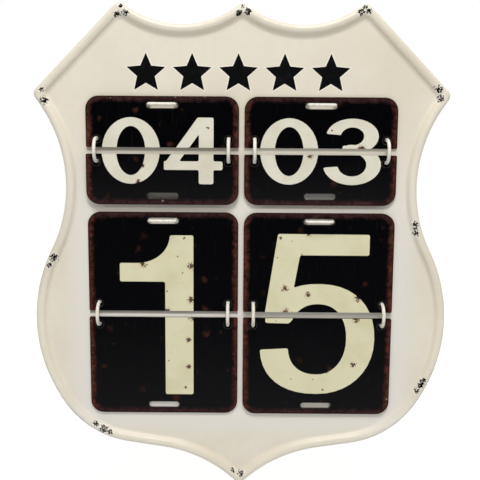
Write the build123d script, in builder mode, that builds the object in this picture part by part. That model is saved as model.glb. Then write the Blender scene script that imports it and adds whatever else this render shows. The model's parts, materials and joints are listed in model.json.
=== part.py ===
from build123d import *
from math import cos, radians, tan
import os

# Wall calendar of flip leaves on a pressed steel shield, in millimetres.
# The origin is on the wall, midway between the two screws that carry it.
# +X is to the right as seen from the front, +Y goes into the wall, +Z is up.
# Heights are a rise above or a drop below the line of the screws, and depths are counted from the wall.

# Sheet and wire
plate_sheet = 0.8
leaf_sheet = 0.35
hanger_sheet = 1.2
hoop_wire = 2.8
hook_wire = 2.4

# Shield outline, right half: crown points, a shoulder, a drawn-in waist, a full lobe and a foot.
# Insets and margins are counted from the outer edge of the leaves, and falls from their lowest edge.
crown_inset = 28.25
crown_rise = 57.5
middle_rise = 56.5
scallop_run = 50.5
scallop_rise = 38.8
shoulder_margin = 44.0
shoulder_drop = 16.5
turn_margin = 30.5
turn_below_month = 37.4
lobe_top_margin = 21.8
lobe_top_rise = 6.8
lobe_foot_inset = 31.5
lobe_foot_fall = 26.4
foot_inset = 61.5
foot_fall = 30.9
tip_fall = 65.5
point_round = 6.0

# Rolled rim and flat field
field_depth = 8.0
rim_width = 9.0
rim_rise = 4.0
rim_slope_angle = 40.0
rim_outer_share = 0.58
rim_inner_share = 0.36
rim_foot_share = 0.53
pocket_round = 3.2

# Leaves: the upper and lower halves of each card
leaf_width = 126.0
month_leaf_height = 41.7
day_leaf_height = 84.3
month_top_drop = 18.3
column_gap = 4.5
row_gap = 6.4
half_gap = 5.4
leaf_outer_round = 11.0
leaf_inner_round = 1.2
leaf_play = 0.1
seat_gap = 0.4
lean_back = 0.6
slot_width = 26.0
slot_height = 5.0
slot_inset = 4.8

# Wire hoops that the leaves turn on
hoop_radius = 9.4
hoop_inset = 8.5
hoop_lift = 0.6
hoop_slip = 0.2
hole_play = 1.8

# Wire hooks that hold the upper leaves
hook_side_gap = 1.0
hook_slack = 0.7
hook_front_gap = 0.5

# Wire ends behind the plate
wire_play = 0.15
bend_radius = 2.2
tail_length = 6.0

# Keyhole hangers welded behind the plate
screw_spacing = 180.0
hanger_wall_gap = 0.2
hanger_land = 26.0
hanger_flange = 9.0
hanger_height = 26.0
hanger_bend = 1.4
keyhole_radius = 4.5
keyhole_slot = 4.6
keyhole_climb = 8.0
overrun = 1.0

# Where the leaves stand: the hinge lines, and the outer and lower edges of the four cards
month_axis_drop = month_top_drop + month_leaf_height + half_gap / 2
month_foot_drop = month_axis_drop + half_gap / 2 + month_leaf_height
day_axis_drop = month_foot_drop + row_gap + day_leaf_height + half_gap / 2
day_foot_drop = day_axis_drop + half_gap / 2 + day_leaf_height
cards_edge_x = column_gap / 2 + leaf_width

# The outline's points
crown_x = cards_edge_x - crown_inset
scallop_x = crown_x - scallop_run
shoulder_x = cards_edge_x + shoulder_margin
turn_x = cards_edge_x + turn_margin
turn_drop = month_foot_drop + turn_below_month
lobe_top_x = cards_edge_x + lobe_top_margin
lobe_top_drop = day_foot_drop - lobe_top_rise
lobe_foot_x = cards_edge_x - lobe_foot_inset
lobe_foot_drop = day_foot_drop + lobe_foot_fall
foot_x = cards_edge_x - foot_inset
foot_drop = day_foot_drop + foot_fall
tip_drop = day_foot_drop + tip_fall

# Other places and sizes worked out from those above
rim_depth = field_depth + rim_rise
rim_crest = rim_width - rim_rise * tan(radians(rim_slope_angle))
rim_slope = rim_rise / cos(radians(rim_slope_angle))
rim_half_bend = tan(radians((90 - rim_slope_angle) / 2))
rim_outer_round = rim_outer_share * rim_crest
rim_inner_round = rim_inner_share * rim_crest / rim_half_bend
rim_foot_round = rim_foot_share * (rim_slope - rim_inner_share * rim_crest) / rim_half_bend
field_back = field_depth - plate_sheet
leaf_pitch = leaf_sheet + leaf_play
column_x = (column_gap + leaf_width) / 2
hole_reach = hoop_radius - hoop_slip
hoop_hole = hoop_wire / 2 + hole_play
hoop_offset = leaf_width / 2 - hoop_inset
hook_span = slot_width - 2 * hook_side_gap - hook_wire
tail_depth = field_back - bend_radius

# Each card: its side of the middle line, its hinge line, its leaf height, and its leaves up and down
cards = {
    "month": {"side": -1, "drop": month_axis_drop, "height": month_leaf_height, "up": 4, "down": 9},
    "weekday": {"side": 1, "drop": month_axis_drop, "height": month_leaf_height, "up": 3, "down": 5},
    "tens": {"side": -1, "drop": day_axis_drop, "height": day_leaf_height, "up": 2, "down": 3},
    "units": {"side": 1, "drop": day_axis_drop, "height": day_leaf_height, "up": 6, "down": 5},
}


def behind_axis(card):
    """How far the last leaf lies behind the hinge line, so that a turned leaf lands in front."""
    return (card["up"] + card["down"] - 1) * leaf_pitch / 2 + lean_back


def axis_depth(card):
    """Depth of the hinge line from the wall."""
    return field_depth + seat_gap + leaf_sheet / 2 + behind_axis(card)


def slot_reach(card):
    """Height of a slot's middle from the hinge line."""
    return half_gap / 2 + card["height"] - slot_inset - slot_height / 2


# One size of hook serves all four cards, so it is long enough for the thickest stack
bar_depth = hook_front_gap + hook_wire / 2 + max(
    axis_depth(card) + behind_axis(card) + leaf_sheet / 2 for card in cards.values()
)


def shield_face(inset, radius):
    """The shield's outline as a face, drawn in all round by inset, with its six points rounded."""
    with BuildSketch() as shape:
        with BuildLine():
            ThreePointArc((0, middle_rise), (scallop_x, scallop_rise), (crown_x, crown_rise))
            Line((crown_x, crown_rise), (shoulder_x, -shoulder_drop))
            base = Line((foot_x, -foot_drop), (lobe_foot_x, -lobe_foot_drop))
            lobe = TangentArc(base @ 1, (lobe_top_x, -lobe_top_drop), tangent=base % 1)
            belly = TangentArc(lobe @ 1, (turn_x, -turn_drop), tangent=lobe % 1)
            TangentArc(belly @ 1, (shoulder_x, -shoulder_drop), tangent=belly % 1)
            TangentArc(base @ 0, (0, -tip_drop), tangent=(base % 0) * -1)
            mirror(about=Plane.YZ)
        make_face()
        if inset:
            offset(amount=-inset, kind=Kind.INTERSECTION)
        points = [(0, middle_rise), (0, -tip_drop)]
        for side in (-1, 1):
            points += [(side * crown_x, crown_rise), (side * shoulder_x, -shoulder_drop)]
        fillet([shape.vertices().sort_by_distance(point)[0] for point in points], radius)
    return shape.sketch


def hoop_places(card):
    """Middles of a card's two hoops, as (x, z)."""
    x = card["side"] * column_x
    z = hoop_lift - card["drop"]
    return [(x - hoop_offset, z), (x + hoop_offset, z)]


def hook_place(card):
    """Middle of a card's hook, as (x, z): its bar hangs a little under the slot's top edge."""
    z = slot_reach(card) + slot_height / 2 - hook_slack - hook_wire / 2 - card["drop"]
    return (card["side"] * column_x, z)


hoop_legs = []
hook_legs = []
for card in cards.values():
    for x, z in hoop_places(card):
        hoop_legs += [(x, z - hoop_radius), (x, z + hoop_radius)]
    x, z = hook_place(card)
    hook_legs += [(x - hook_span / 2, z), (x + hook_span / 2, z)]

os.makedirs("parts", exist_ok=True)

# Shield plate: one sheet pressed to a flat field inside a rolled rim, open at the back
with BuildPart() as shield_plate:
    with BuildSketch(Plane.XZ):
        add(shield_face(0, point_round))
    extrude(amount=rim_depth)
    with BuildSketch(Plane.XZ.offset(field_depth)):
        add(shield_face(rim_width, pocket_round))
    extrude(amount=rim_rise, taper=-rim_slope_angle, mode=Mode.SUBTRACT)
    crest = shield_plate.faces().filter_by(Axis.Y).sort_by(Axis.Y)[0]
    fillet(crest.outer_wire().edges(), rim_outer_round)
    crest = shield_plate.faces().filter_by(Axis.Y).sort_by(Axis.Y)[0]
    fillet(crest.inner_wires()[0].edges(), rim_inner_round)
    field = shield_plate.faces().filter_by(Axis.Y).sort_by(Axis.Y)[1]
    fillet(field.edges(), rim_foot_round)
    back = shield_plate.faces().filter_by(Axis.Y).sort_by(Axis.Y)[-1]
    offset(amount=-plate_sheet, openings=back)
    with BuildSketch(Plane.XZ.offset(field_back - overrun)):
        with Locations(*hoop_legs):
            Circle(hoop_wire / 2 + wire_play)
        with Locations(*hook_legs):
            Circle(hook_wire / 2 + wire_play)
    extrude(amount=plate_sheet + 2 * overrun, mode=Mode.SUBTRACT)
shield_plate.part.label = "shield_plate"
export_step(shield_plate.part, "parts/shield_plate.step")


def make_hanger(name, x):
    """A top-hat strip welded behind the field, with a keyhole for a screw's head and neck."""
    foot = field_back - hanger_sheet / 2
    land = hanger_wall_gap + hanger_sheet / 2
    near = hanger_land / 2
    far = near + hanger_flange
    with BuildPart() as hanger:
        with BuildSketch(Plane.XY.offset(-hanger_height / 2)):
            with BuildLine():
                FilletPolyline(
                    (x - far, -foot),
                    (x - near, -foot),
                    (x - near, -land),
                    (x + near, -land),
                    (x + near, -foot),
                    (x + far, -foot),
                    radius=hanger_bend,
                )
            trace(line_width=hanger_sheet)
        extrude(amount=hanger_height)
        with BuildSketch(Plane.XZ):
            with Locations((x, 0)):
                Circle(keyhole_radius)
            with Locations((x, keyhole_climb / 2)):
                Rectangle(keyhole_slot, keyhole_climb)
            with Locations((x, keyhole_climb)):
                Circle(keyhole_slot / 2)
        extrude(amount=hanger_wall_gap + hanger_sheet + overrun, mode=Mode.SUBTRACT)
    hanger.part.label = name
    export_step(hanger.part, f"parts/{name}.step")


def make_hoop(name, x, z, depth):
    """A wire loop that goes through the plate twice, with its ends turned up and down behind it."""
    bend = tail_depth + bend_radius
    top = z + hoop_radius
    bottom = z - hoop_radius
    with BuildPart() as hoop:
        with BuildLine(Plane.YZ.offset(x)) as path:
            Line((-tail_depth, top + bend_radius + tail_length), (-tail_depth, top + bend_radius))
            RadiusArc((-tail_depth, top + bend_radius), (-bend, top), bend_radius)
            Line((-bend, top), (-depth, top))
            ThreePointArc((-depth, top), (-depth - hoop_radius, z), (-depth, bottom))
            Line((-depth, bottom), (-bend, bottom))
            RadiusArc((-bend, bottom), (-tail_depth, bottom - bend_radius), bend_radius)
            Line((-tail_depth, bottom - bend_radius), (-tail_depth, bottom - bend_radius - tail_length))
        with BuildSketch(Plane(origin=path.line @ 0, z_dir=path.line % 0)):
            Circle(hoop_wire / 2)
        sweep()
    hoop.part.label = name
    export_step(hoop.part, f"parts/{name}.step")


def make_hook(name, x, z):
    """A wire staple with its bar level, and its ends turned outwards behind the plate."""
    leg = hook_span / 2
    end = leg + bend_radius + tail_length
    with BuildPart() as hook:
        with BuildLine(Plane.XY.offset(z)) as path:
            FilletPolyline(
                (x - end, -tail_depth),
                (x - leg, -tail_depth),
                (x - leg, -bar_depth),
                (x + leg, -bar_depth),
                (x + leg, -tail_depth),
                (x + end, -tail_depth),
                radius=bend_radius,
            )
        with BuildSketch(Plane(origin=path.line @ 0, z_dir=path.line % 0)):
            Circle(hook_wire / 2)
        sweep()
    hook.part.label = name
    export_step(hook.part, f"parts/{name}.step")


def make_leaf(name, card, way, depth):
    """One half of a card, way 1 for up and -1 for down, with its back at this depth."""
    x = card["side"] * column_x
    axis_z = -card["drop"]
    outer, inner = (-1, 0) if way > 0 else (0, -1)
    with BuildPart() as leaf:
        with BuildSketch(Plane.XZ.offset(depth)) as blank:
            with Locations((x, axis_z + way * (half_gap + card["height"]) / 2)):
                Rectangle(leaf_width, card["height"])
            fillet(blank.vertices().group_by(Axis.Y)[outer], leaf_outer_round)
            fillet(blank.vertices().group_by(Axis.Y)[inner], leaf_inner_round)
            with Locations((x, axis_z + way * slot_reach(card))):
                SlotOverall(slot_width, slot_height, mode=Mode.SUBTRACT)
            with Locations(*[(x + side * hoop_offset, axis_z + way * hole_reach) for side in (-1, 1)]):
                Circle(hoop_hole, mode=Mode.SUBTRACT)
        extrude(amount=leaf_sheet)
    leaf.part.label = name
    export_step(leaf.part, f"parts/{name}.step")


for side, place in (("left", -1), ("right", 1)):
    make_hanger(f"{side}_hanger", place * screw_spacing / 2)

for name, card in cards.items():
    for side, (x, z) in zip(("left", "right"), hoop_places(card)):
        make_hoop(f"{name}_{side}_hoop", x, z, axis_depth(card))
    make_hook(f"{name}_hook", *hook_place(card))
    # Leaves are numbered from the front of their stack
    for half, way, count in (("upper", 1, card["up"]), ("lower", -1, card["down"])):
        for number in range(1, count + 1):
            depth = field_depth + seat_gap + (count - number) * leaf_pitch
            make_leaf(f"{name}_{half}_leaf_{number}", card, way, depth)
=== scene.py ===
import json
import math

import bmesh
import bpy
from mathutils import Matrix, Vector
from mathutils.geometry import delaunay_2d_cdt


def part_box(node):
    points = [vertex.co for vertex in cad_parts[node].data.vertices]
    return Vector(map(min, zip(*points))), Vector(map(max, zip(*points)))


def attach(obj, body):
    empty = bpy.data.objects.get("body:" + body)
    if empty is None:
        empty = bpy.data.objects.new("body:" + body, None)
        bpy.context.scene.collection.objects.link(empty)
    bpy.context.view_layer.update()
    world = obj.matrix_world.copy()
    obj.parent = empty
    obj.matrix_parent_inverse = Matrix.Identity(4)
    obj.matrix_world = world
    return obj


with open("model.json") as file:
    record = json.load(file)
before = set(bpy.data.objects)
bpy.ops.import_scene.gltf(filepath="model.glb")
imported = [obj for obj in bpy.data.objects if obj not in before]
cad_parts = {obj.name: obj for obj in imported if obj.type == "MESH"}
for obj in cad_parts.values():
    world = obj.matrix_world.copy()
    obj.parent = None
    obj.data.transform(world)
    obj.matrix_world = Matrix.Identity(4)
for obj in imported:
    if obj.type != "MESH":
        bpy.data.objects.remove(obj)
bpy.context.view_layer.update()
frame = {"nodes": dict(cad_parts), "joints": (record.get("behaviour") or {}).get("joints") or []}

# Shield plate. One sheet of steel, pressed to a flat field inside a rolled rim, with cream enamel
# over a black ground coat on the front and grey primer behind. The rim has chipped to the black.
# Sizes of its patterns are in millimetres.
mm = 0.001
rim_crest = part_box("shield_plate")[0].y / mm
stain_size = 85.0
mottle_size = 7.0
orange_peel_size = 1.6
orange_peel_height = 0.03 * mm
chip_grain = 1.5
chip_core_share = 0.35
chip_cover_share = 0.33
chip_depth_share = 4.0
scuff_patch = 3.5
scuff_cover_share = 0.6
hole_bloom_reach = 6.0
hole_bloom_end = 15.0
wire_leg_reach = 9.4
hole_shade_reach = 4.5
hole_shade_end = 5.0
hole_shade_stray = 1.6
# Painted shadow under the leaves' edges: where it is full and where it ends below an edge, and how far up
# behind the leaf it reaches
painted_shadow_full = 2.2
painted_shadow_end = 3.52
painted_shadow_cover_reach = 4.4
# Painted shadow by the leaf that it lies under, its cover, and how far it fades at its ends
painted_shadow_bands = [
    ("month_upper_leaf_1", 0.35, 0.5),
    ("tens_upper_leaf_1", 0.75, 0.5),
    ("units_upper_leaf_1", 0.3, 0.5),
    ("month_lower_leaf_1", 0.5, 20.0),
    ("weekday_lower_leaf_1", 0.5, 20.0),
]
clean_reach = 30.0
# Lower leaves with painted shade on the field behind their hook slots, and its place and size in millimetres
shaded_slots = ("month_lower_leaf_1", "weekday_lower_leaf_1")
slot_shade_rise = 7.3
slot_shade_half_width = 17.0
slot_shade_half_height = 5.0
slot_shade_stray_share = 0.8
# Chips by their place across and up, and their reach from there
rim_chips = [
    (-98.0, 52.5, 3.6),
    (-94.5, 47.0, 5.5),
    (-100.5, 45.0, 6.0),
    (0.5, 53.5, 3.6),
    (4.5, 49.0, 5.5),
    (-3.0, 47.5, 5.0),
    (98.5, 53.0, 3.6),
    (95.5, 49.0, 6.0),
    (101.5, 49.5, 4.5),
    (-161.5, -22.5, 6.5),
    (-163.0, -14.0, 4.0),
    (160.5, -12.0, 6.0),
    (161.0, -19.0, 6.5),
    (156.0, -10.5, 3.5),
    (145.0, -122.0, 5.0),
    (145.0, -126.0, 4.0),
    (145.5, -130.0, 5.5),
    (-156.5, -152.5, 7.0),
    (-160.5, -158.5, 4.5),
    (156.5, -257.5, 6.0),
    (154.5, -261.5, 5.0),
    (151.5, -265.5, 5.0),
    (-124.0, -297.0, 5.0),
    (-117.5, -302.0, 7.0),
    (-112.0, -304.5, 5.0),
    (-5.5, -338.5, 4.5),
    (1.0, -341.0, 6.0),
]


def linear(code):
    """An sRGB hex colour as linear light, with full cover."""
    parts = [int(code[i:i + 2], 16) / 255 for i in (0, 2, 4)]
    return [c / 12.92 if c <= 0.04045 else ((c + 0.055) / 1.055) ** 2.4 for c in parts] + [1.0]


def add(tree, kind, inputs=(), **settings):
    """One node, its settings, and its inputs, each a value or another node's socket."""
    node = tree.nodes.new(kind)
    for name, value in settings.items():
        setattr(node, name, value)
    for name, value in dict(inputs).items():
        if isinstance(value, bpy.types.NodeSocket):
            tree.links.new(value, node.inputs[name])
        else:
            node.inputs[name].default_value = value
    return node


def new_finish(name):
    """A new material, its tree, its shader, and the place on the object in millimetres."""
    material = bpy.data.materials.new(name)
    material.use_nodes = True
    tree = material.node_tree
    shader = tree.nodes["Principled BSDF"]
    place = add(tree, "ShaderNodeTexCoord").outputs["Object"]
    place = add(tree, "ShaderNodeVectorMath", {0: place, "Scale": 1 / mm}, operation="SCALE").outputs[0]
    return material, tree, shader, place


def dress(node, material):
    """Gives a CAD node its finish."""
    for slot in frame["nodes"][node].material_slots:
        slot.material = material


# Sprayed stove enamel: a soft gloss with a faint orange peel, a little yellowed in patches
enamel, tree, shader, place = new_finish("cream_stove_enamel")
stain = add(tree, "ShaderNodeTexNoise", {"Vector": place, "Scale": 1 / stain_size, "Detail": 4.0}).outputs[0]
stain = add(tree, "ShaderNodeMapRange", {"Value": stain, "From Min": 0.42, "From Max": 0.68}).outputs[0]
colour = add(
    tree,
    "ShaderNodeMix",
    {0: stain, 6: linear("E9E4D5"), 7: linear("E0DAC8")},
    data_type="RGBA",
).outputs[2]
mottle = add(
    tree,
    "ShaderNodeTexNoise",
    {"Vector": place, "Scale": 1 / mottle_size, "Detail": 5.0},
).outputs[0]
mottle_depth = add(
    tree,
    "ShaderNodeMapRange",
    {"Value": mottle, "From Min": 0.3, "From Max": 0.75, "To Min": 0.0, "To Max": 0.22},
).outputs[0]
colour = add(
    tree,
    "ShaderNodeMix",
    {0: mottle_depth, 6: colour, 7: linear("D8CFBE")},
    data_type="RGBA",
).outputs[2]

# The head and the rim have yellowed most, and hands have kept the field clean round the leaves
plan = add(tree, "ShaderNodeSeparateXYZ", {0: place}).outputs
cards_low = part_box("tens_lower_leaf_1")[0] / mm
cards_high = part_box("weekday_upper_leaf_1")[1] / mm
cards_middle = (cards_low + cards_high) / 2
cards_half = (cards_high - cards_low) / 2
aside = add(tree, "ShaderNodeVectorMath", {0: place, 1: cards_middle}, operation="SUBTRACT").outputs[0]
aside = add(tree, "ShaderNodeVectorMath", {0: aside}, operation="ABSOLUTE").outputs[0]
aside = add(tree, "ShaderNodeVectorMath", {0: aside, 1: cards_half}, operation="SUBTRACT").outputs[0]
aside = add(tree, "ShaderNodeVectorMath", {0: aside, 1: (0.0, 0.0, 0.0)}, operation="MAXIMUM").outputs[0]
aside = add(tree, "ShaderNodeVectorMath", {0: aside, 1: (1.0, 0.0, 1.0)}, operation="MULTIPLY").outputs[0]
aside = add(tree, "ShaderNodeVectorMath", {0: aside}, operation="LENGTH").outputs["Value"]
clean = add(
    tree,
    "ShaderNodeMapRange",
    {"Value": aside, "From Min": clean_reach, "From Max": 0.0},
    interpolation_type="SMOOTHSTEP",
).outputs[0]
lower = add(
    tree,
    "ShaderNodeMapRange",
    {"Value": plan["Z"], "From Min": cards_high.z, "From Max": cards_middle.z},
    interpolation_type="SMOOTHSTEP",
).outputs[0]
clean = add(tree, "ShaderNodeMath", {0: clean, 1: lower}, operation="MULTIPLY").outputs[0]
colour = add(tree, "ShaderNodeMix", {0: clean, 6: colour, 7: linear("E9E6E0")}, data_type="RGBA").outputs[2]

# Painted shadow on the field under the edges of the leaves, and painted shade behind the small slots
for leaf, cover, end_fade in painted_shadow_bands:
    low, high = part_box(leaf)
    middle = (low + high) / 2 / mm
    below = add(tree, "ShaderNodeMath", {0: low.z / mm, 1: plan["Z"]}, operation="SUBTRACT").outputs[0]
    painted_shadow = add(
        tree,
        "ShaderNodeMapRange",
        {"Value": below, "From Min": painted_shadow_end, "From Max": painted_shadow_full, "To Max": cover},
        interpolation_type="SMOOTHSTEP",
    ).outputs[0]
    across = add(tree, "ShaderNodeMath", {0: plan["X"], 1: middle.x}, operation="SUBTRACT").outputs[0]
    across = add(tree, "ShaderNodeMath", {0: across}, operation="ABSOLUTE").outputs[0]
    end = high.x / mm - middle.x
    within = add(
        tree,
        "ShaderNodeMapRange",
        {"Value": across, "From Min": end, "From Max": end - end_fade},
        interpolation_type="SMOOTHSTEP",
    ).outputs[0]
    painted_shadow = add(tree, "ShaderNodeMath", {0: painted_shadow, 1: within}, operation="MULTIPLY").outputs[0]
    exposed = add(
        tree,
        "ShaderNodeMath",
        {0: below, 1: -painted_shadow_cover_reach},
        operation="GREATER_THAN",
    ).outputs[0]
    painted_shadow = add(tree, "ShaderNodeMath", {0: painted_shadow, 1: exposed}, operation="MULTIPLY").outputs[0]
    # Painted shadow: the field greyed under each leaf's lower edge
    colour = add(
        tree,
        "ShaderNodeMix",
        {0: painted_shadow, 6: colour, 7: linear("77716B")},
        data_type="RGBA",
    ).outputs[2]
slot_shade_shape = (1 / slot_shade_half_width, 0.0, 1 / slot_shade_half_height)
for leaf in shaded_slots:
    low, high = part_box(leaf)
    slot = Vector(((low.x + high.x) / 2, 0.0, low.z)) / mm + Vector((0.0, 0.0, slot_shade_rise))
    gap = add(tree, "ShaderNodeVectorMath", {0: place, 1: slot}, operation="SUBTRACT").outputs[0]
    gap = add(tree, "ShaderNodeVectorMath", {0: gap, 1: slot_shade_shape}, operation="MULTIPLY").outputs[0]
    gap = add(tree, "ShaderNodeVectorMath", {0: gap}, operation="LENGTH").outputs["Value"]
    gap = add(
        tree,
        "ShaderNodeMath",
        {0: mottle, 1: slot_shade_stray_share, 2: gap},
        operation="MULTIPLY_ADD",
    ).outputs[0]
    slot_shade = add(
        tree,
        "ShaderNodeMapRange",
        {"Value": gap, "From Min": 1.5, "From Max": 1.05, "To Max": 0.8},
        interpolation_type="SMOOTHSTEP",
    ).outputs[0]
    # Painted shade: the field greyed behind the slot
    colour = add(
        tree,
        "ShaderNodeMix",
        {0: slot_shade, 6: colour, 7: linear("6C6C6E")},
        data_type="RGBA",
    ).outputs[2]

# A deeper, warmer cream painted on the steep slopes of the rim, as painted warm shade there
facing = add(tree, "ShaderNodeTexCoord").outputs["Normal"]
facing = add(tree, "ShaderNodeSeparateXYZ", {0: facing}).outputs["Y"]
painted_slope_shade = add(
    tree,
    "ShaderNodeMapRange",
    {"Value": facing, "From Min": -0.92, "From Max": -0.66, "To Max": 0.35},
    interpolation_type="SMOOTHSTEP",
).outputs[0]
colour = add(tree, "ShaderNodeMix", {0: painted_slope_shade, 6: colour, 7: linear("E6D9C0")}, data_type="RGBA").outputs[2]

# Back of the sheet: grey primer with thin cream overspray, and rust round the wire holes
behind = add(tree, "ShaderNodeMapRange", {"Value": facing, "From Min": 0.1, "From Max": 0.45}).outputs[0]
back_colour = add(
    tree,
    "ShaderNodeMix",
    {0: mottle, 6: linear("8F8B84"), 7: linear("B9B2A5")},
    data_type="RGBA",
).outputs[2]
# The holes are alike left and right, so those of the two left cards stand for all
folded = add(tree, "ShaderNodeMath", {0: plan["X"]}, operation="ABSOLUTE").outputs[0]
folded = add(tree, "ShaderNodeCombineXYZ", {"X": folded, "Z": plan["Z"]}).outputs[0]
hoop_middles = []
for hoop in ("month_right_hoop", "month_left_hoop", "tens_right_hoop", "tens_left_hoop"):
    low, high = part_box(hoop)
    hoop_middles.append((low + high) / 2 / mm)
bloom = 0.0
for middle in hoop_middles:
    gap = add(
        tree,
        "ShaderNodeVectorMath",
        {0: folded, 1: (abs(middle.x), 0.0, middle.z)},
        operation="DISTANCE",
    ).outputs["Value"]
    near = add(
        tree,
        "ShaderNodeMapRange",
        {"Value": gap, "From Min": hole_bloom_end, "From Max": hole_bloom_reach},
        interpolation_type="SMOOTHSTEP",
    ).outputs[0]
    bloom = add(tree, "ShaderNodeMath", {0: near, 1: bloom}, operation="MAXIMUM").outputs[0]
bloom = add(tree, "ShaderNodeMath", {0: bloom, 1: mottle}, operation="MULTIPLY").outputs[0]
back_colour = add(
    tree,
    "ShaderNodeMix",
    {0: bloom, 6: back_colour, 7: linear("6B4A38")},
    data_type="RGBA",
).outputs[2]
colour = add(tree, "ShaderNodeMix", {0: behind, 6: colour, 7: back_colour}, data_type="RGBA").outputs[2]

# Chips: small ragged islands that thin out from each place, on a patch rubbed pale
ragged = add(
    tree,
    "ShaderNodeTexNoise",
    {"Vector": place, "Scale": 1 / chip_grain, "Detail": 5.0, "Roughness": 0.68},
).outputs[0]
chipped = 0.0
for x, z, reach in rim_chips:
    gap = add(
        tree,
        "ShaderNodeVectorMath",
        {0: place, 1: (x, rim_crest, z)},
        operation="DISTANCE",
    ).outputs["Value"]
    near = add(
        tree,
        "ShaderNodeMapRange",
        {"Value": gap, "From Min": reach, "From Max": chip_core_share * reach},
    ).outputs[0]
    chipped = add(tree, "ShaderNodeMath", {0: near, 1: chipped}, operation="MAXIMUM").outputs[0]
flaking = add(
    tree,
    "ShaderNodeMath",
    {0: chipped, 1: chip_cover_share, 2: ragged},
    operation="MULTIPLY_ADD",
).outputs[0]
chips_and_hole_shade = add(tree, "ShaderNodeMapRange", {"Value": flaking, "From Min": 0.76, "From Max": 0.79}).outputs[0]
chip_edge = add(
    tree,
    "ShaderNodeMapRange",
    {"Value": chipped, "From Min": 0.02, "From Max": 0.08},
).outputs[0]
chips_and_hole_shade = add(tree, "ShaderNodeMath", {0: chips_and_hole_shade, 1: chip_edge}, operation="MULTIPLY").outputs[0]
scuffed = add(
    tree,
    "ShaderNodeTexNoise",
    {"Vector": place, "Scale": 1 / scuff_patch, "Detail": 4.0},
).outputs[0]
scuffed = add(
    tree,
    "ShaderNodeMath",
    {0: chipped, 1: scuff_cover_share, 2: scuffed},
    operation="MULTIPLY_ADD",
).outputs[0]
scuffed = add(
    tree,
    "ShaderNodeMapRange",
    {"Value": scuffed, "From Min": 0.72, "From Max": 0.95, "To Max": 0.75},
).outputs[0]
colour = add(
    tree,
    "ShaderNodeMix",
    {0: scuffed, 6: colour, 7: linear("F5F1E9")},
    data_type="RGBA",
).outputs[2]

# Painted shade round each drilled hole, where the hoops go through: the field there is near black, like the
# shade seen through the holes in the leaves
for middle in hoop_middles:
    for leg in (-wire_leg_reach, wire_leg_reach):
        gap = add(
            tree,
            "ShaderNodeVectorMath",
            {0: folded, 1: (abs(middle.x), 0.0, middle.z + leg)},
            operation="DISTANCE",
        ).outputs["Value"]
        gap = add(
            tree,
            "ShaderNodeMath",
            {0: ragged, 1: hole_shade_stray, 2: gap},
            operation="MULTIPLY_ADD",
        ).outputs[0]
        near = add(
            tree,
            "ShaderNodeMapRange",
            {"Value": gap, "From Min": hole_shade_end, "From Max": hole_shade_reach},
        ).outputs[0]
        chips_and_hole_shade = add(tree, "ShaderNodeMath", {0: near, 1: chips_and_hole_shade}, operation="MAXIMUM").outputs[0]
# The chips show the black ground coat; round the drilled holes the same black is painted shade
colour = add(tree, "ShaderNodeMix", {0: chips_and_hole_shade, 6: colour, 7: linear("050405")}, data_type="RGBA").outputs[2]
tree.links.new(colour, shader.inputs["Base Color"])
gloss = add(
    tree,
    "ShaderNodeMapRange",
    {"Value": mottle, "From Min": 0.3, "From Max": 0.7, "To Min": 0.34, "To Max": 0.46},
).outputs[0]
gloss = add(tree, "ShaderNodeMath", {0: chips_and_hole_shade, 1: 0.25, 2: gloss}, operation="MULTIPLY_ADD").outputs[0]
tree.links.new(gloss, shader.inputs["Roughness"])
shine = add(tree, "ShaderNodeMapRange", {"Value": chips_and_hole_shade, "To Min": 0.5, "To Max": 0.04}).outputs[0]
tree.links.new(shine, shader.inputs["Specular IOR Level"])
peel = add(
    tree,
    "ShaderNodeTexNoise",
    {"Vector": place, "Scale": 1 / orange_peel_size, "Detail": 1.0},
).outputs[0]
relief = add(
    tree,
    "ShaderNodeMath",
    {0: chips_and_hole_shade, 1: -chip_depth_share, 2: peel},
    operation="MULTIPLY_ADD",
).outputs[0]
bump = add(tree, "ShaderNodeBump", {"Height": relief, "Distance": orange_peel_height, "Strength": 0.6})
tree.links.new(bump.outputs[0], shader.inputs["Normal"])
dress("shield_plate", enamel)

# Header ornament. A row of plain five-pointed stars, screen printed in black on the field above
# the leaves, each on a slightly larger star of white that leaves a thin keyline round it.
star_count = 5
star_points = 5
star_pitch = 37.8 * mm
star_tip = 16.6 * mm
star_waist_share = 0.46
header_rise = 0.0
header_shift = -3.0 * mm
ink_thickness = 0.04 * mm
keyline_tip = 1.7 * mm
keyline_thickness = 0.02 * mm
leaf_seat_gap = 0.4 * mm
field_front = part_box("month_lower_leaf_9")[1].y + leaf_seat_gap


def new_mesh_tree(name, kinds):
    """A tree that makes a mesh, and the sockets of its named inputs, given with their kinds."""
    tree = bpy.data.node_groups.new(name, "GeometryNodeTree")
    tree.interface.new_socket("Geometry", in_out="OUTPUT", socket_type="NodeSocketGeometry")
    for label, kind in kinds.items():
        tree.interface.new_socket(label, in_out="INPUT", socket_type=f"NodeSocket{kind}")
    return tree, add(tree, "NodeGroupInput").outputs


def evaluated_mesh(name, tree, values):
    """A plain mesh object from a node tree, its named inputs set by their identifiers."""
    holder = bpy.data.objects.new(name, bpy.data.meshes.new(name))
    bpy.context.scene.collection.objects.link(holder)
    modifier = holder.modifiers.new("made", "NODES")
    modifier.node_group = tree
    for socket in tree.interface.items_tree:
        if socket.in_out == "INPUT" and socket.name in values:
            modifier[socket.identifier] = values[socket.name]
    bpy.context.view_layer.update()
    graph = bpy.context.evaluated_depsgraph_get()
    mesh = bpy.data.meshes.new_from_object(holder.evaluated_get(graph))
    mesh.name = name
    holder.modifiers.remove(modifier)
    holder.data = mesh
    return holder


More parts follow.
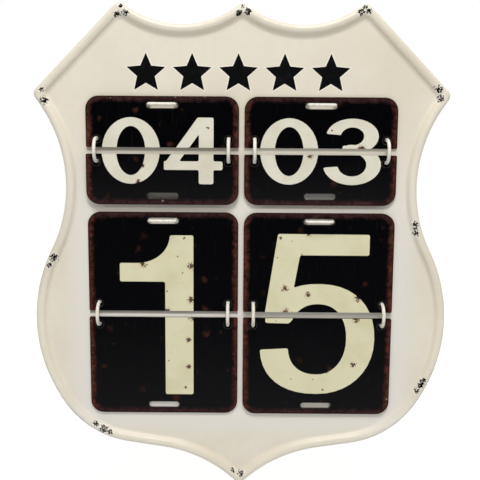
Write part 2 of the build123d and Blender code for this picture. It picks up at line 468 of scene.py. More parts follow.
stars, given = new_mesh_tree(
    "row_of_stars",
    {
        "Count": "Int",
        "Pitch": "Float",
        "Tip radius": "Float",
        "Waist radius": "Float",
        "Thickness": "Float",
        "First place": "Vector",
        "Finish": "Material",
    },
)
pitch = add(stars, "ShaderNodeCombineXYZ", {"X": given["Pitch"]}).outputs[0]
row = add(
    stars,
    "GeometryNodeMeshLine",
    {"Count": given["Count"], "Start Location": given["First place"], "Offset": pitch},
    mode="OFFSET",
).outputs[0]
outline = add(
    stars,
    "GeometryNodeCurveStar",
    {"Points": star_points, "Inner Radius": given["Waist radius"], "Outer Radius": given["Tip radius"]},
).outputs[0]
filled = add(stars, "GeometryNodeFillCurve", {"Curve": outline}).outputs[0]
solid = add(
    stars,
    "GeometryNodeExtrudeMesh",
    {"Mesh": filled, "Offset Scale": given["Thickness"]},
).outputs[0]
row = add(
    stars,
    "GeometryNodeInstanceOnPoints",
    {"Points": row, "Instance": solid, "Rotation": (math.radians(90), math.radians(-90), 0.0)},
).outputs[0]
row = add(stars, "GeometryNodeRealizeInstances", {0: row}).outputs[0]
row = add(stars, "GeometryNodeSetMaterial", {"Geometry": row, "Material": given["Finish"]}).outputs[0]
add(stars, "NodeGroupOutput", {0: row})

# Screen ink: a flat, even film, a little thin in places
for name, code, thin_code, thickness, extra in (
    ("header_keyline", "F3EFE6", "E9E2D4", keyline_thickness, keyline_tip),
    ("header_stars", "09090B", "161415", ink_thickness, 0.0),
):
    ink, tree, shader, place = new_finish(f"{name}_screen_ink")
    thin = add(
        tree,
        "ShaderNodeTexNoise",
        {"Vector": place, "Scale": 1 / mottle_size, "Detail": 5.0},
    ).outputs[0]
    thin = add(tree, "ShaderNodeMapRange", {"Value": thin, "From Min": 0.5, "From Max": 0.75}).outputs[0]
    colour = add(tree, "ShaderNodeMix", {0: thin, 6: linear(code), 7: linear(thin_code)}, data_type="RGBA")
    tree.links.new(colour.outputs[2], shader.inputs["Base Color"])
    shader.inputs["Roughness"].default_value = 0.5
    shader.inputs["Specular IOR Level"].default_value = 0.05
    first = -star_pitch * (star_count - 1) / 2 + header_shift
    tip = star_tip + extra
    piece = evaluated_mesh(
        name,
        stars,
        {
            "Count": star_count,
            "Pitch": star_pitch,
            "Tip radius": tip,
            "Waist radius": tip * star_waist_share,
            "Thickness": thickness,
            "First place": (first, field_front, header_rise),
            "Finish": ink,
        },
    )
    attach(piece, "shield")

# Hangers. Two strips of zinc-plated steel, bent to a top-hat section with a keyhole in the middle
# and spot welded by their flanges to the back of the plate.
spangle_size = 3.5
weld_ring_radius = 2.1 * mm
weld_ring_bead = 0.22 * mm
weld_ring_steps = 20
weld_bead_steps = 8
weld_spread_x = 35.4 * mm
weld_spread_z = 14.0 * mm
strip_sheet = 1.2 * mm
low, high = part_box("right_hanger")
hanger_x = (low.x + high.x) / 2
flange_back = low.y + strip_sheet

# Zinc plate: a bright metal with a small crystal spangle and dull patches
zinc, tree, shader, place = new_finish("zinc_plated_strip")
crystals = add(tree, "ShaderNodeTexVoronoi", {"Vector": place, "Scale": 1 / spangle_size}).outputs["Color"]
crystals = add(tree, "ShaderNodeSeparateXYZ", {0: crystals}).outputs[0]
dull = add(tree, "ShaderNodeTexNoise", {"Vector": place, "Scale": 1 / mottle_size, "Detail": 4.0}).outputs[0]
colour = add(
    tree,
    "ShaderNodeMix",
    {0: crystals, 6: linear("A9ABAD"), 7: linear("C6C8C9")},
    data_type="RGBA",
).outputs[2]
dull_cover = add(
    tree,
    "ShaderNodeMapRange",
    {"Value": dull, "From Min": 0.5, "From Max": 0.72, "To Max": 0.6},
).outputs[0]
colour = add(
    tree,
    "ShaderNodeMix",
    {0: dull_cover, 6: colour, 7: linear("85827C")},
    data_type="RGBA",
).outputs[2]
tree.links.new(colour, shader.inputs["Base Color"])
gloss = add(
    tree,
    "ShaderNodeMapRange",
    {"Value": dull, "From Min": 0.35, "From Max": 0.7, "To Min": 0.3, "To Max": 0.55},
).outputs[0]
tree.links.new(gloss, shader.inputs["Roughness"])
shader.inputs["Metallic"].default_value = 1.0
for side in ("left", "right"):
    dress(f"{side}_hanger", zinc)

# Spot welds: a raised ring where each electrode pressed, four to a hanger
welds, given = new_mesh_tree(
    "hanger_spot_welds",
    {
        "Ring radius": "Float",
        "Bead radius": "Float",
        "Spread across": "Float",
        "Spread up": "Float",
        "First hanger": "Vector",
        "To next hanger": "Vector",
        "Finish": "Material",
    },
)
ring = add(
    welds,
    "GeometryNodeCurvePrimitiveCircle",
    {"Resolution": weld_ring_steps, "Radius": given["Ring radius"]},
).outputs[0]
bead = add(
    welds,
    "GeometryNodeCurvePrimitiveCircle",
    {"Resolution": weld_bead_steps, "Radius": given["Bead radius"]},
).outputs[0]
ring = add(welds, "GeometryNodeCurveToMesh", {"Curve": ring, "Profile Curve": bead}).outputs[0]
spots = add(
    welds,
    "GeometryNodeMeshGrid",
    {"Size X": given["Spread across"], "Size Y": given["Spread up"], "Vertices X": 2, "Vertices Y": 2},
).outputs[0]
spots = add(welds, "GeometryNodeInstanceOnPoints", {"Points": spots, "Instance": ring}).outputs[0]
pair = add(
    welds,
    "GeometryNodeMeshLine",
    {"Count": 2, "Start Location": given["First hanger"], "Offset": given["To next hanger"]},
    mode="OFFSET",
).outputs[0]
pair = add(
    welds,
    "GeometryNodeInstanceOnPoints",
    {"Points": pair, "Instance": spots, "Rotation": (math.radians(90), 0.0, 0.0)},
).outputs[0]
pair = add(welds, "GeometryNodeRealizeInstances", {0: pair}).outputs[0]
pair = add(welds, "GeometryNodeSetMaterial", {"Geometry": pair, "Material": given["Finish"]}).outputs[0]
add(welds, "NodeGroupOutput", {0: pair})
piece = evaluated_mesh(
    "hanger_spot_welds",
    welds,
    {
        "Ring radius": weld_ring_radius,
        "Bead radius": weld_ring_bead,
        "Spread across": weld_spread_x,
        "Spread up": weld_spread_z,
        "First hanger": (-hanger_x, flange_back, 0.0),
        "To next hanger": (2 * hanger_x, 0.0, 0.0),
        "Finish": zinc,
    },
)
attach(piece, "shield")

# Hoops and hooks. Hard steel wire with a baked white coat, bent on a jig, passed through the plate
# from the front and turned over behind it. The leaves rub the coat yellow and grey.
rub_size = 2.5
wire, tree, shader, place = new_finish("white_coated_wire")
rub = add(tree, "ShaderNodeTexNoise", {"Vector": place, "Scale": 1 / rub_size, "Detail": 4.0}).outputs[0]
rub = add(tree, "ShaderNodeMapRange", {"Value": rub, "From Min": 0.45, "From Max": 0.72}).outputs[0]
colour = add(
    tree,
    "ShaderNodeMix",
    {0: rub, 6: linear("F3F0E8"), 7: linear("E0D8C6")},
    data_type="RGBA",
).outputs[2]
tree.links.new(colour, shader.inputs["Base Color"])
gloss = add(tree, "ShaderNodeMapRange", {"Value": rub, "To Min": 0.3, "To Max": 0.5}).outputs[0]
tree.links.new(gloss, shader.inputs["Roughness"])
for node in frame["nodes"]:
    if node.endswith(("_hoop", "_hook")):
        dress(node, wire)

# Leaves. Thin steel sheet, blanked with rounded outer corners, two hoop holes and a hook slot, and
# enamelled black on both faces. The edge is printed and worn rust brown, as one frame round a card.
corner_round = 11.0
border_width = 3.4
border_stray = 5.0
border_fade = 2.6
border_grain = 6.0
border_mitre = 4.0
dark_edge_full = 0.4
dark_edge_end = 1.5
rust_grain = 3.0
rust_height = 0.05 * mm
spot_pitch = 27.0
spot_reach = 2.6
spot_stray_share = 0.32
nick_pitch = 17.0
nick_reach = 0.9
nick_depth = 4.0
scuff_width = 1.3
scuff_length = 22.0
hole_radius = 3.2
hole_reach = 9.2
slot_inset = 7.3
slot_half_width = 10.5
slot_half_height = 2.5
lip_width = 0.9
cards = {}
for joint in frame["joints"]:
    name, half, number = joint["child"].replace("_leaf", "").split("_")
    card = cards.setdefault(name, {"upper": 0, "lower": 0, "axis": Vector(joint["pos_m"])})
    card[half] = max(card[half], int(number))
for name, card in cards.items():
    low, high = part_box(f"{name}_upper_leaf_1")
    card["half_width"] = (high.x - low.x) / 2
    card["reach"] = high.z - card["axis"].z
    card["half_gap"] = low.z - card["axis"].z
    hoop_low, hoop_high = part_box(f"{name}_right_hoop")
    card["hoop_offset"] = (hoop_low.x + hoop_high.x) / 2 - card["axis"].x


def leaf_enamel(name, card):
    """Satin black enamel, with a dull rusty border that follows the outline of the whole card."""
    material, tree, shader, place = new_finish(f"{name}_black_enamel_on_sheet")
    axis = card["axis"] / mm
    half = Vector((card["half_width"], 0.0, card["reach"])) / mm
    flat = add(tree, "ShaderNodeVectorMath", {0: place, 1: (1.0, 0.0, 1.0)}, operation="MULTIPLY").outputs[0]
    away = add(
        tree,
        "ShaderNodeVectorMath",
        {0: flat, 1: (axis.x, 0.0, axis.z)},
        operation="SUBTRACT",
    ).outputs[0]
    away = add(tree, "ShaderNodeVectorMath", {0: away}, operation="ABSOLUTE").outputs[0]

    # How far in from the card's rounded outline
    inner = (half.x - corner_round, 0.0, half.z - corner_round)
    past = add(tree, "ShaderNodeVectorMath", {0: away, 1: inner}, operation="SUBTRACT").outputs[0]
    corner = add(tree, "ShaderNodeVectorMath", {0: past, 1: (0.0, 0.0, 0.0)}, operation="MAXIMUM").outputs[0]
    corner = add(tree, "ShaderNodeVectorMath", {0: corner}, operation="LENGTH").outputs["Value"]
    past = add(tree, "ShaderNodeSeparateXYZ", {0: past}).outputs
    side = add(tree, "ShaderNodeMath", {0: past["X"], 1: past["Z"]}, operation="MAXIMUM").outputs[0]
    side = add(tree, "ShaderNodeMath", {0: side, 1: 0.0}, operation="MINIMUM").outputs[0]
    depth = add(tree, "ShaderNodeMath", {0: corner, 1: side}, operation="ADD").outputs[0]
    depth = add(tree, "ShaderNodeMath", {0: corner_round, 1: depth}, operation="SUBTRACT").outputs[0]

    # The border's ragged inner edge
    stray = add(
        tree,
        "ShaderNodeTexNoise",
        {"Vector": place, "Scale": 1 / border_grain, "Detail": 5.0, "Roughness": 0.65},
    ).outputs[0]
    reach = add(
        tree,
        "ShaderNodeMath",
        {0: stray, 1: border_stray, 2: border_width - border_stray / 2},
        operation="MULTIPLY_ADD",
    ).outputs[0]
    reach = add(tree, "ShaderNodeMath", {0: reach, 1: depth}, operation="SUBTRACT").outputs[0]
    border = add(
        tree,
        "ShaderNodeMapRange",
        {"Value": reach, "From Min": -border_fade, "From Max": border_fade},
        interpolation_type="SMOOTHSTEP",
    ).outputs[0]

    # Scattered rust spots, and faint upright scuffs
    rust_noise = add(
        tree,
        "ShaderNodeTexNoise",
        {"Vector": place, "Scale": 1 / rust_grain, "Detail": 6.0},
    ).outputs[0]
    plan = add(tree, "ShaderNodeSeparateXYZ", {0: place}).outputs
    plan = add(tree, "ShaderNodeCombineXYZ", {"X": plan["X"], "Y": plan["Z"]}).outputs[0]
    cells = add(
        tree,
        "ShaderNodeTexVoronoi",
        {"Vector": plan, "Scale": 1 / spot_pitch},
        voronoi_dimensions="2D",
    )
    pick = add(tree, "ShaderNodeSeparateXYZ", {0: cells.outputs["Color"]}).outputs
    size = add(tree, "ShaderNodeMapRange", {"Value": pick[0], "From Min": 0.45, "From Max": 1.0}).outputs[0]
    strength = add(tree, "ShaderNodeMapRange", {"Value": pick[1], "To Min": 0.2, "To Max": 0.8}).outputs[0]
    size = add(
        tree,
        "ShaderNodeMath",
        {0: size, 1: spot_reach / spot_pitch},
        operation="MULTIPLY",
    ).outputs[0]
    spot = add(
        tree,
        "ShaderNodeMath",
        {0: rust_noise, 1: -spot_stray_share, 2: cells.outputs["Distance"]},
        operation="MULTIPLY_ADD",
    ).outputs[0]
    spot = add(tree, "ShaderNodeMath", {0: spot, 1: spot_stray_share / 2}, operation="ADD").outputs[0]
    spot = add(tree, "ShaderNodeMath", {0: size, 1: spot}, operation="SUBTRACT").outputs[0]
    spot = add(
        tree,
        "ShaderNodeMapRange",
        {"Value": spot, "From Min": -0.07, "From Max": 0.09, "To Max": strength},
        interpolation_type="SMOOTHSTEP",
    ).outputs[0]
    stretched = add(
        tree,
        "ShaderNodeMapping",
        {"Vector": flat, "Scale": (1 / scuff_width, 1.0, 1 / scuff_length)},
    ).outputs[0]
    scuff = add(tree, "ShaderNodeTexNoise", {"Vector": stretched, "Scale": 1.0, "Detail": 3.0}).outputs[0]
    scuff = add(
        tree,
        "ShaderNodeMapRange",
        {"Value": scuff, "From Min": 0.6, "From Max": 0.8, "To Max": 0.35},
    ).outputs[0]

    # Colour, from the black ground up, which dust has greyed towards the foot of the card
    haze = add(tree, "ShaderNodeSeparateXYZ", {0: place}).outputs["Z"]
    haze = add(
        tree,
        "ShaderNodeMapRange",
        {"Value": haze, "From Min": axis.z, "From Max": axis.z - half.z},
    ).outputs[0]
    ground = add(
        tree,
        "ShaderNodeMix",
        {0: haze, 6: linear("020204"), 7: linear("131315")},
        data_type="RGBA",
    ).outputs[2]
    rust_mix = add(tree, "ShaderNodeMath", {0: rust_noise, 1: stray}, operation="ADD").outputs[0]
    rust_mix = add(
        tree,
        "ShaderNodeMapRange",
        {"Value": rust_mix, "From Min": 0.7, "From Max": 1.25},
    ).outputs[0]
    upright = add(tree, "ShaderNodeMath", {0: past["X"], 1: past["Z"]}, operation="SUBTRACT").outputs[0]
    upright = add(
        tree,
        "ShaderNodeMapRange",
        {"Value": upright, "From Min": -border_mitre, "From Max": border_mitre},
    ).outputs[0]
    bright_rust = add(
        tree,
        "ShaderNodeMix",
        {0: upright, 6: linear("41292A"), 7: linear("5F3329")},
        data_type="RGBA",
    ).outputs[2]
    rust = add(
        tree,
        "ShaderNodeMix",
        {0: rust_mix, 6: linear("2A1716"), 7: bright_rust},
        data_type="RGBA",
    ).outputs[2]
    colour = add(
        tree,
        "ShaderNodeMix",
        {0: scuff, 6: ground, 7: linear("2B2A2C")},
        data_type="RGBA",
    ).outputs[2]
    colour = add(
        tree,
        "ShaderNodeMix",
        {0: spot, 6: colour, 7: linear("46281C")},
        data_type="RGBA",
    ).outputs[2]
    colour = add(tree, "ShaderNodeMix", {0: border, 6: colour, 7: rust}, data_type="RGBA").outputs[2]
    nicks = add(
        tree,
        "ShaderNodeTexVoronoi",
        {"Vector": plan, "Scale": 1 / nick_pitch},
        voronoi_dimensions="2D",
    )
    pick = add(tree, "ShaderNodeSeparateXYZ", {0: nicks.outputs["Color"]}).outputs[1]
    size = add(tree, "ShaderNodeMapRange", {"Value": pick, "From Min": 0.7, "From Max": 0.9}).outputs[0]
    size = add(
        tree,
        "ShaderNodeMath",
        {0: size, 1: nick_reach / nick_pitch},
        operation="MULTIPLY",
    ).outputs[0]
    nick = add(
        tree,
        "ShaderNodeMath",
        {0: size, 1: nicks.outputs["Distance"]},
        operation="SUBTRACT",
    ).outputs[0]
    nick = add(
        tree,
        "ShaderNodeMapRange",
        {"Value": nick, "From Min": 0.0, "From Max": 0.02, "To Max": 0.8},
    ).outputs[0]
    near_edge = add(tree, "ShaderNodeMath", {0: depth, 1: nick_depth}, operation="LESS_THAN").outputs[0]
    nick = add(tree, "ShaderNodeMath", {0: nick, 1: near_edge}, operation="MULTIPLY").outputs[0]
    colour = add(
        tree,
        "ShaderNodeMix",
        {0: nick, 6: colour, 7: linear("A2978C")},
        data_type="RGBA",
    ).outputs[2]
    rim = add(
        tree,
        "ShaderNodeMapRange",
        {"Value": depth, "From Min": dark_edge_end, "From Max": dark_edge_full, "To Max": 0.7},
    ).outputs[0]
    colour = add(
        tree,
        "ShaderNodeMix",
        {0: rim, 6: colour, 7: linear("2A1A18")},
        data_type="RGBA",
    ).outputs[2]

    # Lips of the hoop holes and the slot, rubbed to dull grey
    hole = (card["hoop_offset"] / mm, 0.0, hole_reach)
    round_lip = add(tree, "ShaderNodeVectorMath", {0: away, 1: hole}, operation="DISTANCE").outputs["Value"]
    round_lip = add(
        tree,
        "ShaderNodeMapRange",
        {"Value": round_lip, "From Min": hole_radius + lip_width, "From Max": hole_radius, "To Max": 0.5},
    ).outputs[0]
    slot_end = (slot_half_width, 0.0, half.z - slot_inset)
    slot_lip = add(tree, "ShaderNodeVectorMath", {0: away, 1: slot_end}, operation="SUBTRACT").outputs[0]
    slot_lip = add(
        tree,
        "ShaderNodeVectorMath",
        {0: slot_lip, 1: (0.0, 0.0, -half.z)},
        operation="MAXIMUM",
    ).outputs[0]
    slot_lip = add(tree, "ShaderNodeVectorMath", {0: slot_lip}, operation="LENGTH").outputs["Value"]
    lip_end = slot_half_height + lip_width
    slot_lip = add(
        tree,
        "ShaderNodeMapRange",
        {"Value": slot_lip, "From Min": lip_end, "From Max": slot_half_height, "To Max": 0.4},
    ).outputs[0]
    worn_lip = add(tree, "ShaderNodeMath", {0: round_lip, 1: slot_lip}, operation="MAXIMUM").outputs[0]
    colour = add(
        tree,
        "ShaderNodeMix",
        {0: worn_lip, 6: colour, 7: linear("4B4744")},
        data_type="RGBA",
    ).outputs[2]
    tree.links.new(colour, shader.inputs["Base Color"])

    dullness = add(tree, "ShaderNodeMath", {0: border, 1: scuff}, operation="MAXIMUM").outputs[0]
    gloss = add(tree, "ShaderNodeMapRange", {"Value": dullness, "To Min": 0.42, "To Max": 0.75}).outputs[0]
    tree.links.new(gloss, shader.inputs["Roughness"])
    shader.inputs["Specular IOR Level"].default_value = 0.03
    grit = add(tree, "ShaderNodeMath", {0: border, 1: rust_mix}, operation="MULTIPLY").outputs[0]
    bump = add(tree, "ShaderNodeBump", {"Height": grit, "Distance": rust_height, "Strength": 0.5})
    tree.links.new(bump.outputs[0], shader.inputs["Normal"])
    return material


for name, card in cards.items():
    card["enamel"] = leaf_enamel(name, card)
    for half in ("upper", "lower"):
        for number in range(1, card[half] + 1):
            dress(f"{name}_{half}_leaf_{number}", card["enamel"])

# Numerals. Cream ink, screen printed on the black enamel in bold plain figures, the upper half of
# each on one leaf and the lower half on the next, with specks where the ink has flaked to rust.
figure_height = 139.6
stem = 24.0
bar = 18.3
body = 47.5
flake_pitch = 20.0
flake_reach = 6.0
flake_grain = 1.5
speck_pitch = 15.0
speck_reach = 0.8
ink_cloud = 21.0
corner_soft = 1.7
corner_turn = 25.0
corner_steps = 4
pair_fill_share = 0.92
same_point = 1e-6
way_digits = 9
inside_only = 1
small_print_width = 104.0
small_print_height = 54.4
day_print_width = 95.0
ink_film = 0.04 * mm
ink_sunk_share = 0.2
arc_step = 9


def bowl(x, y, across, up, start, end, fullness=2.0, thickness=bar):
    """A bent stroke in short four-sided pieces, from one angle to the other. Above 2 it is squarer."""
    count = max(2, round(abs(end - start) / arc_step))
    turns = [math.radians(start + (end - start) * i / count) for i in range(count + 1)]
    ways = [(round(math.cos(t), way_digits), round(math.sin(t), way_digits)) for t in turns]
    ways = [[math.copysign(abs(w) ** (2 / fullness), w) for w in way] for way in ways]
    outer = [(x + across * c, y + up * s) for c, s in ways]
    inner = [(x + (across - stem) * c, y + (up - thickness) * s) for c, s in ways]
    return [[outer[i], outer[i + 1], inner[i + 1], inner[i]] for i in range(count)]


def block(x0, y0, x1, y1):
    """A straight stroke."""
    return [[(x0, y0), (x1, y0), (x1, y1), (x0, y1)]]


top = figure_height / 2
one_top = top - 2.3
flag_root = -22.0
flag_across = 27.5
flag_up = 23.7
flag_turns = [math.radians(turn) for turn in range(0, 91, arc_step)]
flag = [(flag_root + flag_across * math.sin(t), one_top - flag_up * math.cos(t)) for t in flag_turns]
five_bowl = (0.3, -21.0, 48.7, 48.15)
five_cheek = (0.3, -27.0, 48.9, 42.15)
five_bar = 17.3
small_bowl = (0.0, top - 37.0, 43.0, 37.0)
large_bowl = (0.0, 42.5 - top, body, 42.5)
figures = {
    "0": bowl(0.0, 0.0, body, top, 0, 360),
    "1": [[(25.3, one_top), (25.3, -top - 0.7), (1.4, -top - 0.7), (1.4, 27.9), (-36.8, 27.9),
           (-36.8, one_top - flag_up), *flag]],
    "2": bowl(0.0, top - 46.0, 46.5, 46.0, -28, 190)
    + [[(41.0, 2.2), (19.8, 18.0), (-46.0, -44.0), (-46.0, bar - top), (-10.0, bar - top)]]
    + block(-46.0, -top, 46.0, bar - top),
    "3": bowl(*small_bowl, -100, 172) + bowl(*large_bowl, -172, 100) + block(-16.0, -2.5, 4.0, bar - 5.0),
    "4": block(8.0, -top, 32.0, top)
    + block(-49.0, -40.0, 47.0, bar - 40.0)
    + [[(6.0, top), (32.0, top), (12.0, 42.0), (-24.0, bar - 40.0), (-24.0, -35.0), (-49.0, -35.0),
        (-49.0, -28.0)]],
    "5": bowl(*five_bowl, -90, 0, 2.1, five_bar)
    + bowl(*five_bowl, 0, 140, 2.25, five_bar)
    + bowl(*five_cheek, -177, -90, 2.3, five_bar)
    + [[(-34.2, top - 0.3), (42.6, top - 0.6), (42.6, top - bar), (-15.5, top - bar), (-20.6, 22.5),
        (-20.2, -2.8), (-23.8, -7.2), (-43.9, -6.9), (-44.4, 3.0)]],
    "6": bowl(*large_bowl, 0, 360) + bowl(0.0, 0.0, body, top, 42, 200),
    "7": block(-46.0, top - bar, 46.0, top)
    + [[(46.0, top), (46.0, top - bar - 2.0), (12.0, -top), (-15.0, -top), (19.0, top - bar)]],
    "8": bowl(*small_bowl, 0, 360) + bowl(*large_bowl, 0, 360),
}
figures["9"] = [[(-x, -y) for x, y in piece] for piece in figures["6"]]


def soft_loops(points, faces):
    """The outlines round some faces, each as points with its sharp corners rounded."""
    after = {}
    inner = {(b, a) for face in faces for a, b in zip(face, face[1:] + face[:1])}
    for face in faces:
        for a, b in zip(face, face[1:] + face[:1]):
            if (a, b) not in inner:
                after[a] = b
    loops = []
    while after:
        chain = [next(iter(after))]
        while chain[-1] in after:
            chain.append(after.pop(chain[-1]))
        loop = [points[i] for i in chain[:-1]]
        soft = []
        for before, corner, ahead in zip(loop[-1:] + loop[:-1], loop, loop[1:] + loop[:1]):
            arrive, leave = corner - before, ahead - corner
            if math.degrees(abs(arrive.angle_signed(leave))) < corner_turn:
                soft.append(corner)
                continue
            start = corner - arrive.normalized() * min(corner_soft, arrive.length / 2)
            end = corner + leave.normalized() * min(corner_soft, leave.length / 2)
            for step in range(corner_steps + 1):
                share = step / corner_steps
                soft.append(start.lerp(corner, share).lerp(corner.lerp(end, share), share))
        loops.append(soft)
    return loops


def twice_area(loop):
    """Twice the area inside a loop of points, below zero where it turns clockwise."""
    return sum(a[0] * b[1] - b[0] * a[1] for a, b in zip(loop, loop[1:] + loop[:1]))


def half_print(text, wide, tall, half_gap, way):
    """The upper or lower half of a plain number as a flat mesh, about the middle of its card."""
    pitch = wide / len(text)
    fill_share = pair_fill_share if len(text) > 1 else 1.0
    squeeze = pitch * fill_share / (2 * body)
    corners, pieces = [], []
    for place, figure in enumerate(text):
        middle = pitch * (place - (len(text) - 1) / 2)
        for piece in figures[figure]:
            turning = piece if twice_area(piece) > 0 else piece[::-1]
            pieces.append(list(range(len(corners), len(corners) + len(piece))))
            corners += [Vector((middle + x * squeeze, y * tall / figure_height)) for x, y in turning]
    points, _, faces, _, _, sources = delaunay_2d_cdt(corners, [], pieces, inside_only, same_point)
    loops = soft_loops(points, [face for face, source in zip(faces, sources) if source])
    corners, outlines, counters = [], [], set()
    for loop in loops:
        outline = list(range(len(corners), len(corners) + len(loop)))
        corners += loop
        if twice_area(loop) < 0:
            counters.add(len(outlines))
            outline.reverse()
        outlines.append(outline)
    points, _, faces, _, _, sources = delaunay_2d_cdt(corners, [], outlines, inside_only, same_point)
    sheet = bmesh.new()
    made = [sheet.verts.new((p.x, p.y, 0.0)) for p in points]
    for face, source in zip(faces, sources):
        if source and counters.isdisjoint(source):
            sheet.faces.new([made[i] for i in face])
    bmesh.ops.bisect_plane(
        sheet,
        geom=sheet.verts[:] + sheet.edges[:] + sheet.faces[:],
        plane_co=(0.0, way * half_gap, 0.0),
        plane_no=(0.0, way, 0.0),
        clear_inner=True,
    )
    bmesh.ops.delete(sheet, geom=[v for v in sheet.verts if not v.link_faces], context="VERTS")
    return sheet


def print_leaf(name, card, half, number):
    """The front and back prints of one leaf, as one piece on its body."""
    leaf = f"{name}_{half}_leaf_{number}"
    low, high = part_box(leaf)
    way = 1 if half == "upper" else -1
    front_text = card["shown"] - way * (number - 1)
    sides = ((front_text, way, low.y, -1), (front_text - way, -way, high.y, 1))
    whole = bpy.data.meshes.new(f"{leaf}_print")
    joined = bmesh.new()
    for index, part, face, out in sides:
        if not 0 <= index < len(card["texts"]):
            continue
        sheet = half_print(card["texts"][index], card["wide"], card["tall"], card["half_gap"] / mm, part)
        flip = 1 if part == way else -1
        lifted = bmesh.ops.extrude_face_region(sheet, geom=sheet.faces[:], use_keep_orig=True)["geom"]
        for vertex in lifted:
            if isinstance(vertex, bmesh.types.BMVert):
                vertex.co.z = 1.0
        for vertex in sheet.verts:
            x, y, lift = vertex.co
            level = face + out * ink_film * (lift - ink_sunk_share)
            vertex.co = Vector((card["axis"].x + x * mm, level, card["axis"].z + flip * y * mm))
        bmesh.ops.recalc_face_normals(sheet, faces=sheet.faces[:])
        sheet.to_mesh(whole)
        sheet.free()
        joined.from_mesh(whole)
    joined.to_mesh(whole)
    joined.free()
    if not whole.polygons:
        return
    whole.materials.append(card["ink"])
    piece = bpy.data.objects.new(f"{leaf}_print", whole)
    bpy.context.scene.collection.objects.link(piece)
    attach(piece, leaf)


def figure_ink(name, code, thin_code):
    """Screen ink, dulled and flaked in patches down to the rust beneath."""
    material, tree, shader, place = new_finish(name)
    cloud = add(
        tree,
        "ShaderNodeTexNoise",
        {"Vector": place, "Scale": 1 / ink_cloud, "Detail": 3.0},
    ).outputs[0]
    thin = add(tree, "ShaderNodeMapRange", {"Value": cloud, "From Min": 0.4, "From Max": 0.7}).outputs[0]
    colour = add(
        tree,
        "ShaderNodeMix",
        {0: thin, 6: linear(code), 7: linear(thin_code)},
        data_type="RGBA",
    ).outputs[2]
    plan = add(tree, "ShaderNodeSeparateXYZ", {0: place}).outputs
    plan = add(tree, "ShaderNodeCombineXYZ", {"X": plan["X"], "Y": plan["Z"]}).outputs[0]
    cells = add(
        tree,
        "ShaderNodeTexVoronoi",
        {"Vector": plan, "Scale": 1 / flake_pitch},
        voronoi_dimensions="2D",
    )
    pick = add(tree, "ShaderNodeSeparateXYZ", {0: cells.outputs["Color"]}).outputs[0]
    reach = add(
        tree,
        "ShaderNodeMapRange",
        {"Value": pick, "From Min": 0.42, "From Max": 1.0, "To Max": flake_reach / flake_pitch},
    ).outputs[0]
    near = add(
        tree,
        "ShaderNodeMapRange",
        {"Value": cells.outputs["Distance"], "From Min": reach, "From Max": 0.0},
    ).outputs[0]
    stained = add(tree, "ShaderNodeMath", {0: near, 1: 0.3}, operation="MULTIPLY").outputs[0]
    colour = add(
        tree,
        "ShaderNodeMix",
        {0: stained, 6: colour, 7: linear("B98A48")},
        data_type="RGBA",
    ).outputs[2]
    ragged = add(
        tree,
        "ShaderNodeTexNoise",
        {"Vector": place, "Scale": 1 / flake_grain, "Detail": 4.0, "Roughness": 0.65},
    ).outputs[0]
    depth = add(tree, "ShaderNodeMath", {0: near, 1: 0.42, 2: ragged}, operation="MULTIPLY_ADD").outputs[0]
    flake = add(tree, "ShaderNodeMapRange", {"Value": depth, "From Min": 0.72, "From Max": 0.75}).outputs[0]
    specks = add(
        tree,
        "ShaderNodeTexVoronoi",
        {"Vector": plan, "Scale": 1 / speck_pitch},
        voronoi_dimensions="2D",
    )
    pick = add(tree, "ShaderNodeSeparateXYZ", {0: specks.outputs["Color"]}).outputs[1]
    size = add(
        tree,
        "ShaderNodeMapRange",
        {"Value": pick, "From Min": 0.7, "From Max": 1.0, "To Max": speck_reach / speck_pitch},
    ).outputs[0]
    speck = add(
        tree,
        "ShaderNodeMath",
        {0: specks.outputs["Distance"], 1: size},
        operation="LESS_THAN",
    ).outputs[0]
    flake = add(tree, "ShaderNodeMath", {0: flake, 1: speck}, operation="MAXIMUM").outputs[0]
    rusty = add(tree, "ShaderNodeMapRange", {"Value": depth, "From Min": 0.95, "From Max": 0.74}).outputs[0]
    rust = add(
        tree,
        "ShaderNodeMix",
        {0: rusty, 6: linear("1C0C07"), 7: linear("60301A")},
        data_type="RGBA",
    ).outputs[2]
    colour = add(tree, "ShaderNodeMix", {0: flake, 6: colour, 7: rust}, data_type="RGBA").outputs[2]
    tree.links.new(colour, shader.inputs["Base Color"])
    gloss = add(tree, "ShaderNodeMapRange", {"Value": thin, "To Min": 0.45, "To Max": 0.6}).outputs[0]
    tree.links.new(gloss, shader.inputs["Roughness"])
    return material


small_ink = figure_ink("pale_cream_screen_ink", "E2DFD0", "D6D2C0")
day_ink = figure_ink("yellow_cream_screen_ink", "DFDCBB", "D6D2AE")
small_print = {"wide": small_print_width, "tall": small_print_height, "ink": small_ink}
day_print = {"wide": day_print_width, "tall": figure_height, "ink": day_ink}
cards["month"].update(small_print, texts=[f"{n:02d}" for n in range(1, 13)], shown=3)
cards["weekday"].update(small_print, texts=[f"{n:02d}" for n in range(1, 8)], shown=2)
cards["tens"].update(day_print, texts=[f"{n}" for n in range(4)], shown=1)
cards["units"].update(day_print, texts=[f"{n}" for n in range(10)], shown=5)
for name, card in cards.items():
    for half in ("upper", "lower"):
        for number in range(1, card[half] + 1):
            print_leaf(name, card, half, number)

# Studio. The plaque hangs clear in front of a white sweep, over a plain pale floor, with one large
# soft lamp high in front of it.
floor_drop = 0.42
floor_size = 3.0
floor_glow = 0.71
floor_mesh = bpy.data.meshes.new("studio_floor")
floor_mesh.from_pydata(
    [(x * floor_size, y * floor_size, -floor_drop) for x, y in ((-1, -1), (1, -1), (1, 1), (-1, 1))],
    [],
    [(0, 1, 2, 3)],
)
floor = bpy.data.objects.new("studio_floor", floor_mesh)
bpy.context.scene.collection.objects.link(floor)

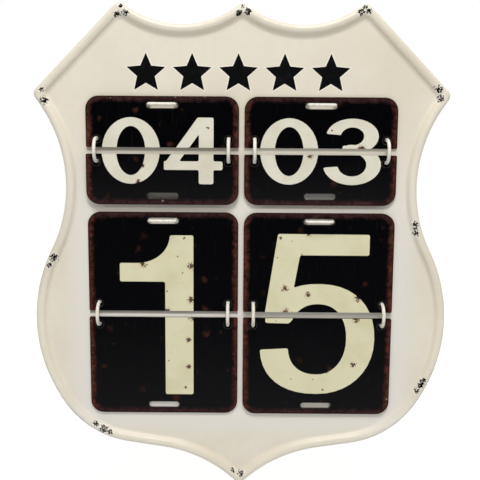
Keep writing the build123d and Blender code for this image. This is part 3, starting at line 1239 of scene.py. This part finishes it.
# Matt paper: no shine, and lifted to white for the camera and for what mirrors it
paper, tree, shader, place = new_finish("white_paper_floor")
shader.inputs["Base Color"].default_value = linear("DDE1E8")
shader.inputs["Roughness"].default_value = 0.9
rays = add(tree, "ShaderNodeLightPath").outputs
seen = add(
    tree,
    "ShaderNodeMath",
    {0: rays["Is Camera Ray"], 1: rays["Is Glossy Ray"]},
    operation="MAXIMUM",
).outputs[0]
seen = add(tree, "ShaderNodeMath", {0: seen, 1: rays["Is Transmission Ray"]}, operation="MAXIMUM").outputs[0]
lift = add(tree, "ShaderNodeMath", {0: seen, 1: floor_glow}, operation="MULTIPLY").outputs[0]
shader.inputs["Emission Color"].default_value = (1.0, 1.0, 1.0, 1.0)
tree.links.new(lift, shader.inputs["Emission Strength"])
floor_mesh.materials.append(paper)

# White to the camera, an even warm fill on the object, and a dim room in front for what mirrors it
world = bpy.data.worlds.new("white_sweep")
world.use_nodes = True
bpy.context.scene.world = world
tree = world.node_tree
fill_level = 0.45
dim_room = 0.04
sweep_start = -0.1
sweep_end = 0.3
rays = add(tree, "ShaderNodeLightPath").outputs
heading = add(tree, "ShaderNodeTexCoord").outputs["Generated"]
heading = add(tree, "ShaderNodeSeparateXYZ", {0: heading}).outputs["Y"]
sweep = add(
    tree,
    "ShaderNodeMapRange",
    {"Value": heading, "From Min": sweep_start, "From Max": sweep_end, "To Min": dim_room, "To Max": 1.0},
).outputs[0]
mirrored = add(
    tree,
    "ShaderNodeMath",
    {0: rays["Is Glossy Ray"], 1: rays["Is Transmission Ray"]},
    operation="MAXIMUM",
).outputs[0]
level = add(tree, "ShaderNodeMix", {0: mirrored, 2: fill_level, 3: sweep}, data_type="FLOAT").outputs[0]
level = add(
    tree,
    "ShaderNodeMix",
    {0: rays["Is Camera Ray"], 2: level, 3: 1.0},
    data_type="FLOAT",
).outputs[0]
background = tree.nodes["Background"]
warmth = add(
    tree,
    "ShaderNodeMix",
    {0: rays["Is Diffuse Ray"], 6: (1.0, 1.0, 1.0, 1.0), 7: linear("FFF5E6")},
    data_type="RGBA",
).outputs[2]
tree.links.new(warmth, background.inputs["Color"])
tree.links.new(level, background.inputs["Strength"])

lamp_place = Vector((0.04, -0.85, 1.15))
lamp_size = 0.5
lamp_power = 17.0
plaque_middle = Vector((-0.8, -6.0, -137.0)) * mm
lamp = bpy.data.lights.new("softbox", "AREA")
lamp.shape = "SQUARE"
lamp.size = lamp_size
lamp.energy = lamp_power
softbox = bpy.data.objects.new("softbox", lamp)
softbox.location = lamp_place
softbox.rotation_euler = (plaque_middle - lamp_place).to_track_quat("-Z", "Y").to_euler()
bpy.context.scene.collection.objects.link(softbox)

# Camera. A little above the middle of the plaque, square on to it, close enough to spread the sides.
camera_distance = 600.0 * mm
camera_rise = math.radians(7.4)
camera_roll = math.radians(0.4)
frame_pixels = 480
focal_pixels = 711
sensor_width = 36.0
lens = bpy.data.cameras.new("camera")
lens.sensor_width = sensor_width
lens.lens = focal_pixels / frame_pixels * sensor_width
camera = bpy.data.objects.new("camera", lens)
back = Vector((0.0, -math.cos(camera_rise), math.sin(camera_rise)))
turn = (-back).to_track_quat("-Z", "Y").to_matrix().to_4x4() @ Matrix.Rotation(camera_roll, 4, "Z")
camera.matrix_world = Matrix.Translation(plaque_middle + back * camera_distance) @ turn
bpy.context.scene.collection.objects.link(camera)
bpy.context.scene.camera = camera
bpy.context.scene.view_settings.view_transform = "Standard"
